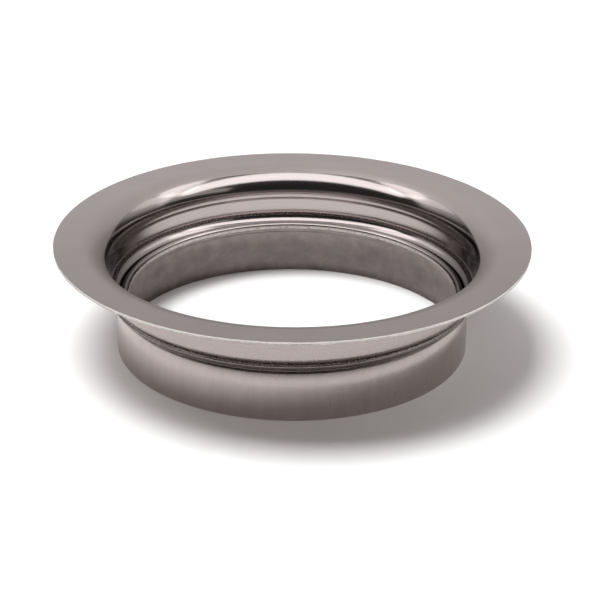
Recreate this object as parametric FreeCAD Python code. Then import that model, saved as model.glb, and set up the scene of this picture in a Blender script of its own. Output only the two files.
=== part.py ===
"""Sink flange of a kitchen waste disposer: a flanged throat pressing, with a collar ring welded under it.

The frame's origin is on the ring's axis in the plane that the collar stands on, with +Z up along the axis.
Every piece is a turned profile. A pressing's profile is the line of its upper or outer face, drawn from its
corners and their bend radii, and thickened by the gauge of the sheet. Lengths are in millimetres.
"""
import FreeCAD, Part
import os
from math import acos, tan

# Driving dimensions: a flange of 4 7/16 in, with a neck for the standard 3 1/2 in sink opening
FLANGE_DIAMETER = 112.7
HEIGHT = 26.6
SHEET = 0.7

# Flange pressing: a rounded mouth, a plain throat that closes in to a gutter, and a lip raised above the gutter
MOUTH_BEND = 6.9
THROAT_RADIUS = 43.48
THROAT_END = 16.0
THROAT_END_BEND = 10.5
GUTTER_SIDE = (43.0, 13.77)
GUTTER_SIDE_BEND = 2.65
GUTTER_FLOOR = (41.44, 12.86)
GUTTER_FLOOR_BEND = 0.9
LIP_CORNER = 14.87
LIP_BEND = 0.8

# Waist: where the two pressings meet edge to edge
WAIST_RADIUS = 39.05
WELD_BOTTOM = 12.6
WELD_TOP = 12.9
WELD_CROWN = 0.07

# Collar ring: a neck turned up to the weld, a flat ledge, a shoulder that leans in, and a plain skirt
COLLAR_DIAMETER = 83.7
LEDGE_HEIGHT = 12.0
LEDGE_BEND = 0.2
SHOULDER_LEAN = 0.636
SHOULDER_BEND = 0.78
SKIRT_TOP = 9.45
SKIRT_BEND = 11.0

AXIS_POINT = FreeCAD.Vector(0, 0, 0)
AXIS = FreeCAD.Vector(0, 0, 1)


def point(radius, height):
    """A point of a profile, in the plane through the axis and +X."""
    return FreeCAD.Vector(radius, 0, height)


def bend_edges(before, corner, after, radius):
    """A bend's tangent arc at a corner, with the two points where it leaves the straight runs."""
    back = (before - corner).normalize()
    ahead = (after - corner).normalize()
    half_angle = acos(back.dot(ahead)) / 2
    setback = radius / tan(half_angle)
    start = corner + back * setback
    end = corner + ahead * setback
    to_centre = (back + ahead).normalize()
    centre_distance = (setback ** 2 + radius ** 2) ** 0.5
    middle = corner + to_centre * (centre_distance - radius)
    return start, Part.Arc(start, middle, end).toShape(), end


def bent_line(corners):
    """A wire through (radius, height, bend radius) corners. The two ends have no bend."""
    points = [point(radius, height) for radius, height, _ in corners]
    edges = []
    here = points[0]
    for index in range(1, len(corners) - 1):
        start, arc, end = bend_edges(points[index - 1], points[index], points[index + 1], corners[index][2])
        edges.append(Part.LineSegment(here, start).toShape())
        edges.append(arc)
        here = end
    edges.append(Part.LineSegment(here, points[-1]).toShape())
    return Part.Wire(edges)


def turned(face):
    """A profile face turned once round the axis."""
    return face.revolve(AXIS_POINT, AXIS, 360)


def pressing(corners, side):
    """A turned sheet pressing. side is 1 or -1, the side of the line that the sheet's thickness lies on."""
    keep_corners = 2
    return turned(bent_line(corners).makeOffset2D(side * SHEET, keep_corners, True, True))


def flange_pressing():
    """Flat flange, rounded mouth, throat, gutter, and the lip that turns down to the weld."""
    return pressing([
        (FLANGE_DIAMETER / 2, HEIGHT, 0),
        (THROAT_RADIUS, HEIGHT, MOUTH_BEND),
        (THROAT_RADIUS, THROAT_END, THROAT_END_BEND),
        (*GUTTER_SIDE, GUTTER_SIDE_BEND),
        (*GUTTER_FLOOR, GUTTER_FLOOR_BEND),
        (WAIST_RADIUS, LIP_CORNER, LIP_BEND),
        (WAIST_RADIUS, WELD_TOP, 0),
    ], 1)


def collar_ring():
    """Neck up to the weld, flat ledge, shoulder, and the skirt that stands on the origin's plane."""
    neck_radius = WAIST_RADIUS + SHEET
    skirt_radius = COLLAR_DIAMETER / 2
    return pressing([
        (neck_radius, WELD_BOTTOM, 0),
        (neck_radius, LEDGE_HEIGHT, LEDGE_BEND),
        (skirt_radius - SHOULDER_LEAN, LEDGE_HEIGHT, SHOULDER_BEND),
        (skirt_radius, SKIRT_TOP, SKIRT_BEND),
        (skirt_radius, 0, 0),
    ], -1)


def seam_weld():
    """Weld metal between the two raw edges, a little proud of the sheet inside and out."""
    middle = (WELD_BOTTOM + WELD_TOP) / 2
    inner, outer = WAIST_RADIUS, WAIST_RADIUS + SHEET
    outline = [
        Part.LineSegment(point(inner, WELD_BOTTOM), point(outer, WELD_BOTTOM)),
        Part.Arc(point(outer, WELD_BOTTOM), point(outer + WELD_CROWN, middle), point(outer, WELD_TOP)),
        Part.LineSegment(point(outer, WELD_TOP), point(inner, WELD_TOP)),
        Part.Arc(point(inner, WELD_TOP), point(inner - WELD_CROWN, middle), point(inner, WELD_BOTTOM)),
    ]
    return turned(Part.Face(Part.Wire([edge.toShape() for edge in outline])))


os.makedirs("parts", exist_ok=True)
for make in (flange_pressing, collar_ring, seam_weld):
    piece = make()
    piece.exportStep(f"parts/{make.__name__}.step")
    print(make.__name__, piece.ShapeType, piece.isValid(), round(piece.Volume, 1), piece.optimalBoundingBox())
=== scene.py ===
"""Looks for a waste disposer's sink flange: a flange pressing, a collar ring, and the weld between them.

Each piece is a turned mesh made here from its bent profile, finer than the CAD mesh it stands for, with a
trimmed edge that wanders a little and an uneven weld. Lengths in the profiles and materials are in
millimetres, as in the design; everything given to Blender's objects, lamps and camera is in metres.
"""
import math

import bpy
from mathutils import Matrix, Quaternion, Vector, noise

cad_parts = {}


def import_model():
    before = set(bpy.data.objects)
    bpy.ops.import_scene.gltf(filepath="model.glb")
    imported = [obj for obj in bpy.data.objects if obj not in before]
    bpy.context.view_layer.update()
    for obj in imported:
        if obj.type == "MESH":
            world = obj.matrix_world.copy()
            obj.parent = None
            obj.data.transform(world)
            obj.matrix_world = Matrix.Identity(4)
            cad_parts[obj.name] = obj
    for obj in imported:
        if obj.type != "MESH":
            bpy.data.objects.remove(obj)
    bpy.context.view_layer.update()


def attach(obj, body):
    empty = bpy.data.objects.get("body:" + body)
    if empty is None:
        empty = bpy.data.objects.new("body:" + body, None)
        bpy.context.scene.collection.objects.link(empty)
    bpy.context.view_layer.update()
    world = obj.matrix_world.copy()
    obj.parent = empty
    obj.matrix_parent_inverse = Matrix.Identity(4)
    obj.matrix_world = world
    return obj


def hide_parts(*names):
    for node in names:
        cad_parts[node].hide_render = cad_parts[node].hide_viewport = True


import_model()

MM = 0.001
TURN = 2 * math.pi

# ---------------------------------------------------------------- dimensions, in millimetres
FLANGE_RADIUS = 56.35
HEIGHT = 26.6
SHEET = 0.7

MOUTH_BEND = 6.9
THROAT_RADIUS = 43.48
MARK_HEIGHT = HEIGHT - MOUTH_BEND       # a fine tool mark rings the throat where the mouth's bend ends
MARK_DEPTH = 0.05
MARK_HALF_WIDTH = 0.14
MARK_SLACK = 0.01       # keeps the mark's points off the end of the bend
THROAT_END = 16.0
THROAT_END_BEND = 10.5
GUTTER_SIDE = (43.0, 13.77)
GUTTER_SIDE_BEND = 2.65
GUTTER_FLOOR = (41.44, 12.86)
GUTTER_FLOOR_BEND = 0.9
LIP_CORNER = 14.87
LIP_BEND = 0.8

WAIST_RADIUS = 39.05
WELD_BOTTOM = 12.6
WELD_TOP = 12.9
WELD_CROWN = 0.07

COLLAR_RADIUS = 41.85
LEDGE_HEIGHT = 12.0
LEDGE_BEND = 0.2
SHOULDER_LEAN = 0.636
SHOULDER_BEND = 0.78
SKIRT_TOP = 9.45
SKIRT_BEND = 11.0

EDGE_ROUND = 0.14       # how far a trimmed edge bulges
EDGE_HOLD = 0.06        # distance from a face's end to the point that holds its shading
RIM_BAND = 0.8          # width at the flange's edge that wanders
RIM_WANDER = 0.05
RIM_MEAN = 0.3          # part of the wander that is the same all round
RIM_WAVES = 90
NICK_WAVES = 260
NICK_SHARE = 0.6
LUMP_REACH = 1.6 * WELD_CROWN
LUMP_RISE = 0.12
LUMP_WAVES = 220
FINE_LUMP_WAVES = 500
FINE_LUMP_SHARE = 0.7
RISE_WAVES = 330
ROUGHEST = math.radians(105)    # place round the ring where the weld's inner edge is most uneven
ROUGH_FOCUS = 6
ROUGH_LEAST = 0.15

SEGMENTS = 540          # steps round the ring
ARC_STEP = math.radians(5.5)
ARC_LEAST = 3           # fewest steps in a bend
RUN_STEP = 1.5          # longest straight step along a profile
EDGE_STEPS = 7
WELD_STEPS = 16
NO_LENGTH = 1e-6
SAME_POINT = 1e-5


# ---------------------------------------------------------------- profiles
def bent_line(corners):
    """Samples of a line of straight runs and tangent bends, each as (point, left-hand normal)."""
    points = [Vector((r, z)) for r, z, _ in corners]
    samples = []

    def run(a, b):
        length = (b - a).length
        if length < NO_LENGTH:
            return
        along = (b - a) / length
        normal = Vector((-along.y, along.x))
        count = max(1, math.ceil(length / RUN_STEP))
        for i in range(count + 1):
            samples.append((a + along * (length * i / count), normal))

    here = points[0]
    for i in range(1, len(corners) - 1):
        back = (points[i - 1] - points[i]).normalized()
        ahead = (points[i + 1] - points[i]).normalized()
        half = math.acos(max(-1, min(1, back.dot(ahead)))) / 2
        radius = corners[i][2]
        start = points[i] + back * radius / math.tan(half)
        run(here, start)
        way_in = -back
        side = 1 if way_in.x * ahead.y - way_in.y * ahead.x > 0 else -1
        turn = math.pi - 2 * half
        centre = start + Vector((-way_in.y, way_in.x)) * radius * side
        steps = max(ARC_LEAST, math.ceil(turn / ARC_STEP))
        first = start - centre
        for k in range(1, steps):
            angle = side * turn * k / steps
            c, s = math.cos(angle), math.sin(angle)
            spoke = Vector((first.x * c - first.y * s, first.x * s + first.y * c))
            samples.append((centre + spoke, -spoke.normalized() * side))
        here = points[i] + ahead * radius / math.tan(half)
    run(here, points[-1])
    return samples


def trimmed_end(a, b):
    """Points of a sheet's rounded cut end, from its one face at a to its other at b."""
    middle, half = (a + b) / 2, (a - b) / 2
    out = Vector((half.y, -half.x)).normalized() * EDGE_ROUND
    points = []
    for k in range(1, EDGE_STEPS):
        t = math.pi * k / EDGE_STEPS
        points.append(middle + half * math.cos(t) + out * math.sin(t))
    return points


def sheet_outline(corners, side):
    """A sheet's closed outline in four parts: drawn face, far end, other face coming back, near end."""
    face = bent_line(corners)
    drawn = held_ends(unique([p for p, _ in face]))
    other = held_ends(unique([p + n * (SHEET * side) for p, n in reversed(face)]))
    return drawn, trimmed_end(drawn[-1], other[0]), other, trimmed_end(other[-1], drawn[0])


def held_ends(points):
    """The points with one more close to each end, so that smooth shading turns the corner there."""
    first = points[0] + (points[1] - points[0]).normalized() * EDGE_HOLD
    last = points[-1] + (points[-2] - points[-1]).normalized() * EDGE_HOLD
    return [points[0], first] + points[1:-1] + [last, points[-1]]


def sheet_zones(parts, materials, shown):
    """For each point of a sheet's outline, the number of the material that starts there.

    shown has the material of each of the outline's four parts. An end starts one point early, with the step
    that leads onto it.
    """
    face, far_end, other, near_end = (len(part) for part in parts)
    zones = []
    for material, count in zip(shown, (face - 1, far_end + 1, other - 1, near_end + 1)):
        zones += [materials.index(material)] * count
    return zones


def unique(points):
    """The points without any that repeats the one before it."""
    kept = []
    for p in points:
        if not kept or (p - kept[-1]).length > SAME_POINT:
            kept.append(p)
    return kept


# ---------------------------------------------------------------- meshes
def turned_mesh(name, outline, zones, shift):
    """A mesh turned round the axis from a closed outline.

    zones are the outline's material numbers, and shift(index, angle) is the small (radius, height) move of
    an outline point at an angle.
    """
    verts = []
    for k in range(SEGMENTS):
        angle = TURN * k / SEGMENTS
        c, s = math.cos(angle), math.sin(angle)
        for i, p in enumerate(outline):
            dr, dz = shift(i, angle)
            r = (p.x + dr) * MM
            verts.append((r * c, r * s, (p.y + dz) * MM))
    n = len(outline)
    faces = []
    for k in range(SEGMENTS):
        here, there = k * n, (k + 1) % SEGMENTS * n
        for i in range(n):
            j = (i + 1) % n
            faces.append((here + i, here + j, there + j, there + i))
    mesh = bpy.data.meshes.new(name)
    mesh.from_pydata(verts, [], faces)
    mesh.polygons.foreach_set("material_index", [zones[i % n] for i in range(len(faces))])
    mesh.polygons.foreach_set("use_smooth", [True] * len(faces))
    mesh.validate()
    mesh.update()
    piece = bpy.data.objects.new(name, mesh)
    bpy.context.scene.collection.objects.link(piece)
    return piece


def settle(piece, node, materials):
    """Gives a piece its materials and its place in the frame."""
    for mat in materials:
        piece.data.materials.append(mat)
    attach(piece, "root")
    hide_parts(node)


def round_noise(angle, waves, seed):
    """Smooth noise round the ring, about -1 to 1, with about that many waves in a turn."""
    reach = waves / TURN
    return noise.noise(Vector((math.cos(angle) * reach, math.sin(angle) * reach, seed)))


# ---------------------------------------------------------------- materials
NOISE_LOW = 0.28        # a noise texture seldom goes below this
NOISE_HIGH = 0.72       # or above this


class Steel:
    """A metallic material, with short calls that add nodes to it. Its coordinates are in millimetres."""

    def __init__(self, name):
        self.mat = bpy.data.materials.new(name)
        self.mat.use_nodes = True
        self.tree = self.mat.node_tree
        self.shader = self.tree.nodes["Principled BSDF"]
        self.shader.inputs["Metallic"].default_value = 1
        place = self.add("ShaderNodeTexCoord").outputs["Object"]
        self.place = self.vector("SCALE", place, Scale=1 / MM)
        parts = self.add("ShaderNodeSeparateXYZ", {0: self.place})
        self.x, self.y, self.z = parts.outputs
        flat = self.add("ShaderNodeCombineXYZ", {0: self.x, 1: self.y}).outputs[0]
        self.radius = self.add("ShaderNodeVectorMath", {0: flat}, operation="LENGTH").outputs["Value"]

    def add(self, kind, inputs=None, **settings):
        node = self.tree.nodes.new(kind)
        for key, value in settings.items():
            setattr(node, key, value)
        for key, value in (inputs or {}).items():
            self.feed(node.inputs[key], value)
        return node

    def feed(self, socket, value):
        if isinstance(value, bpy.types.NodeSocket):
            self.tree.links.new(value, socket)
        else:
            socket.default_value = value

    def math(self, operation, a, b=0.0):
        return self.add("ShaderNodeMath", {0: a, 1: b}, operation=operation).outputs[0]

    def vector(self, operation, a, b=(0, 0, 0), **extra):
        return self.add("ShaderNodeVectorMath", {0: a, 1: b, **extra}, operation=operation).outputs[0]

    def step(self, value, low, high, at_low=0.0, at_high=1.0):
        """A smooth change from one level to another as a value goes from low to high."""
        inputs = {"Value": value, "From Min": low, "From Max": high, "To Min": at_low, "To Max": at_high}
        return self.add("ShaderNodeMapRange", inputs, interpolation_type="SMOOTHSTEP").outputs[0]

    def noise(self, stretch, detail=3.0, offset=0.0):
        """Noise, 0 to 1, with its own number of waves per millimetre along x, y and z."""
        scaled = self.vector("MULTIPLY", self.place, stretch)
        moved = self.vector("ADD", scaled, (offset, offset, offset))
        inputs = {"Vector": moved, "Scale": 1.0, "Detail": detail, "Roughness": 0.6}
        return self.add("ShaderNodeTexNoise", inputs).outputs[0]

    def turned_noise(self, across, round_waves, offset=0.0):
        """Noise in lines round the ring: fine across the profile, long round the turn."""
        cosine = self.math("DIVIDE", self.x, self.radius)
        sine = self.math("DIVIDE", self.y, self.radius)
        profile = self.math("ADD", self.radius, self.z)
        vector = self.add("ShaderNodeCombineXYZ", {
            0: self.math("MULTIPLY", cosine, round_waves),
            1: self.math("MULTIPLY", sine, round_waves),
            2: self.math("MULTIPLY", profile, across),
        }).outputs[0]
        moved = self.vector("ADD", vector, (offset, offset, offset))
        return self.add("ShaderNodeTexNoise", {"Vector": moved, "Scale": 1.0, "Detail": 3.0}).outputs[0]

    def mix(self, factor, a, b):
        node = self.add("ShaderNodeMix", {"Factor": factor}, data_type="RGBA")
        self.feed(node.inputs["A"], a)
        self.feed(node.inputs["B"], b)
        return node.outputs["Result"]

    def tone(self, colour, factor):
        """A colour made lighter or darker by a factor."""
        return self.vector("SCALE", colour, Scale=factor)

    def spread(self, source, low, high):
        """Noise spread over a range."""
        levels = {"From Min": NOISE_LOW, "From Max": NOISE_HIGH, "To Min": low, "To Max": high}
        inputs = {"Value": source, **levels}
        return self.add("ShaderNodeMapRange", inputs).outputs[0]

    def finish(self, colour, roughness, relief, depth):
        """Links the colour and roughness, and a bump whose depth is in millimetres."""
        self.feed(self.shader.inputs["Base Color"], colour)
        self.feed(self.shader.inputs["Roughness"], roughness)
        bump = self.add("ShaderNodeBump", {"Height": relief, "Distance": depth * MM, "Strength": 1.0})
        self.feed(self.shader.inputs["Normal"], bump.outputs[0])
        return self.mat


# Shades multiply a colour. A change is (from, to, level at from, level at to) along a height, a y or a sine.
SATIN_COLOUR = (0.335, 0.297, 0.290)
SATIN_SCATTER = 0.55            # share of light that the satin's fine pits scatter evenly
SATIN_SHADES = (0.92, 1.08)
SATIN_ROUGHNESS = (0.30, 0.38)
PIT_DEPTH = 0.006
CLOUD_SHADES = (0.97, 1.03)
FRONT_SHADE = (-55, 45, 0.74, 1.0)      # darkens the satin toward the front, in place of a light falling off
SATIN_END = (0.05, 0.87, 44.3, 46.15)   # radius where satin gives way to polish, from the sides to the back
SATIN_FADE = 0.2                # half the width of that border
POLISH_COLOUR = (0.44, 0.393, 0.384)
POLISH_SHADES = (0.95, 1.05)
POLISH_ROUGHNESS = (0.12, 0.17)
POLISH_RELIEF = 0.10            # against the satin's
THROAT_SIDE_SHADE = (0.10, 0.75, 0.30, 1.0)       # painted shade: darkens the throat's sides, in place of a darker studio

NECK_COLOUR = (0.375, 0.332, 0.323)
NECK_ROUGHNESS = (0.22, 0.30)
SCRATCH_DEPTH = 0.002
NECK_GROOVE_SHADE = (13.4, 15.2, 0.5, 1.0)      # painted shade, darker down into the groove
RING_RELIEF = 0.6
GRAIN_RELIEF = 0.12

OUTSIDE_COLOUR = (0.44, 0.39, 0.38)
OUTSIDE_ROUGHNESS = (0.26, 0.33)
BRUSH_DEPTH = 0.004
OUTSIDE_GROOVE_SHADE = (11.0, 12.0, 1.0, 0.5)   # painted shade, darker over the shoulder into the groove
DRAWN_SHADES = (0.96, 1.04)

DULL_COLOUR = (0.30, 0.26, 0.25)
DULL_ROUGHNESS = (0.40, 0.55)
DULL_DEPTH = 0.010
STREAK_SHADES = (0.94, 1.05)
SMUDGE_SHADES = (0.68, 1.20)
DULL_SHADES = (0.95, 1.05)
DULL_LOWER_SHADE = (6.5, 12.0, 0.68, 1.0)      # painted shade, darker in its lower half
# painted shade near the foot, where it stands on the floor
FOOT_SHADE = (0.0, 2.5, 0.7, 1.0)
FRONT_LIGHTER = (-38, 5, 3.0, 1.0)      # only so that the back of the throat mirrors something lighter

EDGE_COLOUR = (0.72, 0.69, 0.67)
EDGE_ROUGHNESS = 0.34
WELD_COLOUR = (0.62, 0.57, 0.55)
WELD_ROUGHNESS = 0.22
TEAR_SHADES = (0.78, 1.12)
TEAR_DEPTH = 0.03
TORN_ROUGHER = 1.8


def face_steel():
    """Satin over the flange and mouth, polished down the throat. The satin reaches lowest at the sides.
    Painted shade darkens the satin toward the front and the polish at the throat's sides.
    """
    m = Steel("satin_and_polish")
    toward_back = m.math("DIVIDE", m.y, m.radius)
    border = m.step(toward_back, *SATIN_END)
    satin = m.step(m.math("SUBTRACT", m.radius, border), -SATIN_FADE, SATIN_FADE)
    polish = m.math("SUBTRACT", 1.0, satin)
    grain = m.noise((5, 5, 5), detail=2)
    cloud = m.noise((0.09, 0.09, 0.09), detail=2, offset=7)
    rings = m.turned_noise(across=3.0, round_waves=2.0)

    tone_factor = m.math("MULTIPLY", m.spread(grain, *SATIN_SHADES), m.spread(cloud, *CLOUD_SHADES))
    matt = m.tone(SATIN_COLOUR, m.math("MULTIPLY", tone_factor, m.step(m.y, *FRONT_SHADE)))
    # painted shade: the throat is darker at its sides than at its back and front
    painted_side_shade = m.step(m.math("ABSOLUTE", toward_back), *THROAT_SIDE_SHADE)
    shine = m.tone(POLISH_COLOUR, m.math("MULTIPLY", painted_side_shade, m.spread(rings, *POLISH_SHADES)))

    rough_matt = m.math("MULTIPLY", satin, m.spread(grain, *SATIN_ROUGHNESS))
    rough_shine = m.math("MULTIPLY", polish, m.spread(rings, *POLISH_ROUGHNESS))
    m.feed(m.shader.inputs["Metallic"], m.math("SUBTRACT", 1.0, m.math("MULTIPLY", satin, SATIN_SCATTER)))
    pits = m.math("MULTIPLY", satin, grain)
    scratches = m.math("MULTIPLY", polish, m.math("MULTIPLY", rings, POLISH_RELIEF))
    return m.finish(m.mix(satin, shine, matt), m.math("ADD", rough_matt, rough_shine),
                    m.math("ADD", pits, scratches), PIT_DEPTH)


def neck_steel():
    """The pressing's outside: drawn steel with fine scratches round it, and painted shade down in the
    groove.
    """
    m = Steel("drawn_outside")
    rings = m.turned_noise(across=2.2, round_waves=5.0, offset=3)
    grain = m.noise((2.5, 2.5, 2.5), offset=1)
    tone_factor = m.math("MULTIPLY", m.spread(rings, *DRAWN_SHADES), m.spread(grain, *DRAWN_SHADES))
    # painted shade down in the groove
    tone_factor = m.math("MULTIPLY", tone_factor, m.step(m.z, *NECK_GROOVE_SHADE))
    relief = m.math("ADD", m.math("MULTIPLY", rings, RING_RELIEF), m.math("MULTIPLY", grain, GRAIN_RELIEF))
    return m.finish(m.tone(NECK_COLOUR, tone_factor), m.spread(grain, *NECK_ROUGHNESS), relief, SCRATCH_DEPTH)


def brushed_steel():
    """The collar's outside: brushed along the axis, with painted shade over the shoulder into the groove."""
    m = Steel("brushed_outside")
    fine = m.noise((7, 7, 0.25), offset=2)
    broad = m.noise((0.5, 0.5, 0.04), offset=9)
    tone_factor = m.math("MULTIPLY", m.spread(fine, *DRAWN_SHADES), m.spread(broad, *DRAWN_SHADES))
    # painted shade over the shoulder into the groove
    tone_factor = m.math("MULTIPLY", tone_factor, m.step(m.z, *OUTSIDE_GROOVE_SHADE))
    return m.finish(m.tone(OUTSIDE_COLOUR, tone_factor), m.spread(fine, *OUTSIDE_ROUGHNESS), fine, BRUSH_DEPTH)


def dull_steel():
    """The collar's inside: unpolished, with soft streaks and darker smudges, painted shade in its lower half
    and at its foot, and painted light at the front.
    """
    m = Steel("dull_inside")
    streaks = m.noise((0.45, 0.45, 0.06), offset=4)
    smudges = m.noise((0.22, 0.22, 0.30), detail=4, offset=11)
    grain = m.noise((4, 4, 2.5), detail=2, offset=5)
    tone_factor = m.math("MULTIPLY", m.spread(streaks, *STREAK_SHADES), m.spread(smudges, *SMUDGE_SHADES))
    tone_factor = m.math("MULTIPLY", tone_factor, m.spread(grain, *DULL_SHADES))
    # painted shade: darker in the lower half and at the foot
    painted_lower_shade = m.math("MULTIPLY", m.step(m.z, *DULL_LOWER_SHADE), m.step(m.z, *FOOT_SHADE))
    # painted light: up to three times lighter toward the front
    lighter = m.step(m.y, *FRONT_LIGHTER)
    tone_factor = m.math("MULTIPLY", tone_factor, m.math("MULTIPLY", painted_lower_shade, lighter))
    return m.finish(m.tone(DULL_COLOUR, tone_factor), m.spread(smudges, *DULL_ROUGHNESS), grain, DULL_DEPTH)


def trimmed_steel(name, colour, roughness):
    """Bright bare metal with small tears along it."""
    m = Steel(name)
    tears = m.noise((1.1, 1.1, 1.1), detail=5, offset=6)
    torn = m.spread(tears, roughness, roughness * TORN_ROUGHER)
    return m.finish(m.tone(colour, m.spread(tears, *TEAR_SHADES)), torn, tears, TEAR_DEPTH)


FACE = face_steel()
NECK = neck_steel()
BRUSHED = brushed_steel()
DULL = dull_steel()
EDGE = trimmed_steel("cut_edge", EDGE_COLOUR, EDGE_ROUGHNESS)
WELD = trimmed_steel("weld_bead", WELD_COLOUR, WELD_ROUGHNESS)


# ---------------------------------------------------------------- pieces
def add_mark(face):
    """Puts a fine groove into the flange's drawn face, at the top of the throat."""
    top, wall = MARK_HEIGHT - MARK_SLACK, THROAT_RADIUS
    place = next(i for i, p in enumerate(face) if p.y < top and p.x < wall + MARK_SLACK)
    face[place:place] = [
        Vector((wall, top)),
        Vector((wall + MARK_DEPTH, top - MARK_HALF_WIDTH)),
        Vector((wall, top - 2 * MARK_HALF_WIDTH)),
    ]


def flange():
    """The sink flange: satin and polish inside, drawn steel outside, a cut rim, and weld at its lip."""
    parts = sheet_outline([
        (FLANGE_RADIUS - EDGE_ROUND, HEIGHT, 0),
        (THROAT_RADIUS, HEIGHT, MOUTH_BEND),
        (THROAT_RADIUS, THROAT_END, THROAT_END_BEND),
        (*GUTTER_SIDE, GUTTER_SIDE_BEND),
        (*GUTTER_FLOOR, GUTTER_FLOOR_BEND),
        (WAIST_RADIUS, LIP_CORNER, LIP_BEND),
        (WAIST_RADIUS, WELD_TOP + EDGE_ROUND, 0),
    ], 1)
    add_mark(parts[0])
    outline = [p for part in parts for p in part]
    materials = (FACE, NECK, EDGE, WELD)
    zones = sheet_zones(parts, materials, (FACE, WELD, NECK, EDGE))

    def shift(index, angle):
        near_rim = max(0.0, 1 - (FLANGE_RADIUS - outline[index].x) / RIM_BAND)
        nicks = NICK_SHARE * max(0, round_noise(angle, NICK_WAVES, 2))
        wander = RIM_MEAN + round_noise(angle, RIM_WAVES, 1) + nicks
        return -near_rim * RIM_WANDER * max(0.0, wander), 0.0

    piece = turned_mesh("sink_flange", outline, zones, shift)
    settle(piece, "flange_pressing", materials)


def collar():
    """The collar below the waist: a rounded shoulder and a straight skirt that stands on its cut foot."""
    parts = sheet_outline([
        (WAIST_RADIUS + SHEET, WELD_BOTTOM - EDGE_ROUND, 0),
        (WAIST_RADIUS + SHEET, LEDGE_HEIGHT, LEDGE_BEND),
        (COLLAR_RADIUS - SHOULDER_LEAN, LEDGE_HEIGHT, SHOULDER_BEND),
        (COLLAR_RADIUS, SKIRT_TOP, SKIRT_BEND),
        (COLLAR_RADIUS, EDGE_ROUND, 0),
    ], -1)
    outline = [p for part in parts for p in part]
    materials = (BRUSHED, DULL, EDGE)
    zones = sheet_zones(parts, materials, (BRUSHED, EDGE, DULL, EDGE))
    piece = turned_mesh("collar", outline, zones, lambda index, angle: (0.0, 0.0))
    settle(piece, "collar_ring", materials)


def weld():
    """A thin bead, uneven in places, that fills the joint between the two cut edges."""
    middle = Vector((WAIST_RADIUS + SHEET / 2, (WELD_BOTTOM + WELD_TOP) / 2))
    half = Vector((SHEET / 2 + WELD_CROWN, (WELD_TOP - WELD_BOTTOM) / 2 + EDGE_ROUND))
    outline = []
    for k in range(WELD_STEPS):
        t = TURN * k / WELD_STEPS
        outline.append(middle + Vector((half.x * math.cos(t), half.y * math.sin(t))))

    def shift(index, angle):
        inward = max(0.0, -math.cos(TURN * index / WELD_STEPS))
        near_roughest = max(0.0, math.cos(angle - ROUGHEST)) ** ROUGH_FOCUS
        rough = inward * (ROUGH_LEAST + (1 - ROUGH_LEAST) * near_roughest)
        fine_lump = FINE_LUMP_SHARE * round_noise(angle, FINE_LUMP_WAVES, 8)
        lump = round_noise(angle, LUMP_WAVES, 5) + fine_lump
        return -rough * LUMP_REACH * lump, rough * LUMP_RISE * round_noise(angle, RISE_WAVES, 9)

    piece = turned_mesh("weld_bead", outline, [0] * WELD_STEPS, shift)
    settle(piece, "seam_weld", (WELD,))


flange()
collar()
weld()


# ---------------------------------------------------------------- stage, lights and camera
FLOOR_HALF = 4.0
FLOOR_WHITE = (0.9, 0.9, 0.9, 1)
DARK_ROOM = (0.03, 0.029, 0.028, 1)
GREY_WALL = (0.68, 0.67, 0.67, 1)
WALL_START_BACK = (-0.12, 0.02)     # the wall comes in between these two y directions
WALL_START_UP = (0.10, 0.36)        # and between these two z directions

CAMERA_BACK = 0.43949
CAMERA_UP = 0.21429
CAMERA_YAW = 0.0043                 # turns are in radians
CAMERA_PITCH = 0.4344
CAMERA_ROLL = 0.0081
CAMERA_LENS = 121.37                # with its sensor, in millimetres
CAMERA_SENSOR = 36
CAMERA_NEAREST = 0.01


def floor():
    """A plain white sheet that the ring stands on."""
    h = FLOOR_HALF
    mesh = bpy.data.meshes.new("floor")
    mesh.from_pydata([(-h, -h, 0), (h, -h, 0), (h, h, 0), (-h, h, 0)], [], [(0, 1, 2, 3)])
    piece = bpy.data.objects.new("floor", mesh)
    bpy.context.scene.collection.objects.link(piece)
    mat = bpy.data.materials.new("floor_white")
    mat.use_nodes = True
    shader = mat.node_tree.nodes["Principled BSDF"]
    shader.inputs["Base Color"].default_value = FLOOR_WHITE
    shader.inputs["Roughness"].default_value = 1
    shader.inputs["Specular IOR Level"].default_value = 0
    mesh.materials.append(mat)


def world():
    """A dark room in front and low down, and a grey wall behind that starts a little above the floor."""
    studio = bpy.data.worlds.new("studio")
    bpy.context.scene.world = studio
    studio.use_nodes = True
    tree = studio.node_tree
    tree.nodes.clear()
    out = tree.nodes.new("ShaderNodeOutputWorld")
    background = tree.nodes.new("ShaderNodeBackground")
    coord = tree.nodes.new("ShaderNodeTexCoord")
    axes = tree.nodes.new("ShaderNodeSeparateXYZ")
    tree.links.new(coord.outputs["Generated"], axes.inputs[0])

    def step(socket, low, high):
        node = tree.nodes.new("ShaderNodeMapRange")
        node.interpolation_type = "SMOOTHSTEP"
        node.inputs["From Min"].default_value = low
        node.inputs["From Max"].default_value = high
        tree.links.new(socket, node.inputs["Value"])
        return node.outputs[0]

    both = tree.nodes.new("ShaderNodeMath")
    both.operation = "MULTIPLY"
    tree.links.new(step(axes.outputs["Y"], *WALL_START_BACK), both.inputs[0])
    tree.links.new(step(axes.outputs["Z"], *WALL_START_UP), both.inputs[1])
    mix = tree.nodes.new("ShaderNodeMix")
    mix.data_type = "RGBA"
    tree.links.new(both.outputs[0], mix.inputs["Factor"])
    mix.inputs["A"].default_value = DARK_ROOM
    mix.inputs["B"].default_value = GREY_WALL
    tree.links.new(mix.outputs["Result"], background.inputs["Color"])
    tree.links.new(background.outputs[0], out.inputs[0])


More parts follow.
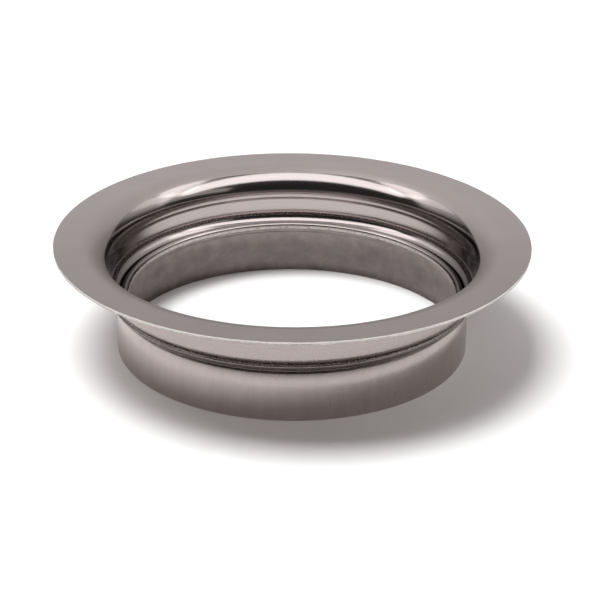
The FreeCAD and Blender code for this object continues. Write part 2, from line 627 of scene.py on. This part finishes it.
def lamp(name, azimuth, elevation, distance, width, height, power, shape="RECTANGLE", roll=0):
    """A soft lamp that faces the ring and may be rolled about the line to it. Angles are in degrees.

    Azimuth 0 is the camera's side and 90 its left.
    """
    data = bpy.data.lights.new(name, "AREA")
    data.shape = shape
    data.size, data.size_y = width, height
    data.energy = power
    piece = bpy.data.objects.new(name, data)
    a, e = math.radians(azimuth), math.radians(elevation)
    place = Vector((-math.sin(a) * math.cos(e), -math.cos(a) * math.cos(e), math.sin(e))) * distance
    piece.location = place
    facing = (-place).to_track_quat("-Z", "Y")
    piece.rotation_euler = (facing @ Quaternion((0, 0, 1), math.radians(roll))).to_euler()
    bpy.context.scene.collection.objects.link(piece)
    return piece


def mirrored_lamps():
    """Lamps that show only as reflections in the steel: a long softbox overhead, its two ends, and wings."""
    lamps = [lamp("softbox", 0, 66.5, distance=1.0, width=3.4, height=0.60, power=10.4, shape="ELLIPSE")]
    for name, side in (("softbox_left", 1), ("softbox_right", -1)):
        lamps.append(lamp(name, 96 * side, 50, distance=1.0, width=0.75, height=0.38, power=0.9,
                          shape="ELLIPSE", roll=-50 * side))
    for name, side in (("wing_left", 1), ("wing_right", -1)):
        lamps.append(lamp(name, 104 * side, 34, distance=2.0, width=1.2, height=0.6, power=1.3))
    lamps.append(lamp("low_right", -68, 25, distance=2.0, width=1.8, height=0.5, power=1.3))
    for piece in lamps:
        piece.visible_diffuse = False


def lighting_lamps():
    """Lamps that light the floor and the satin but don't show in the steel."""
    key = lamp("key", 96, 75, distance=2.0, width=1.0, height=1.0, power=41)
    fill = lamp("front_fill", 0, 22, distance=2.0, width=0.9, height=0.9, power=14)
    fill.data.color = (1.0, 0.90, 0.88)
    for piece in (key, fill):
        piece.visible_glossy = False


def camera():
    """Stands off the ring on -Y and looks down at it."""
    sy, cy = math.sin(CAMERA_YAW), math.cos(CAMERA_YAW)
    sp, cp = math.sin(CAMERA_PITCH), math.cos(CAMERA_PITCH)
    ahead = Vector((sy * cp, cy * cp, -sp))
    right = ahead.cross(Vector((0, 0, 1))).normalized()
    up = right.cross(ahead)
    sr, cr = math.sin(CAMERA_ROLL), math.cos(CAMERA_ROLL)
    right, up = right * cr + up * sr, up * cr - right * sr
    data = bpy.data.cameras.new("camera")
    data.sensor_width = CAMERA_SENSOR
    data.lens = CAMERA_LENS
    data.clip_start = CAMERA_NEAREST
    cam = bpy.data.objects.new("camera", data)
    cam.matrix_world = Matrix((
        (right.x, up.x, -ahead.x, 0),
        (right.y, up.y, -ahead.y, -CAMERA_BACK),
        (right.z, up.z, -ahead.z, CAMERA_UP),
        (0, 0, 0, 1),
    ))
    bpy.context.scene.collection.objects.link(cam)
    bpy.context.scene.camera = cam


floor()
world()
mirrored_lamps()
lighting_lamps()
camera()
bpy.context.scene.view_settings.view_transform = "Standard"
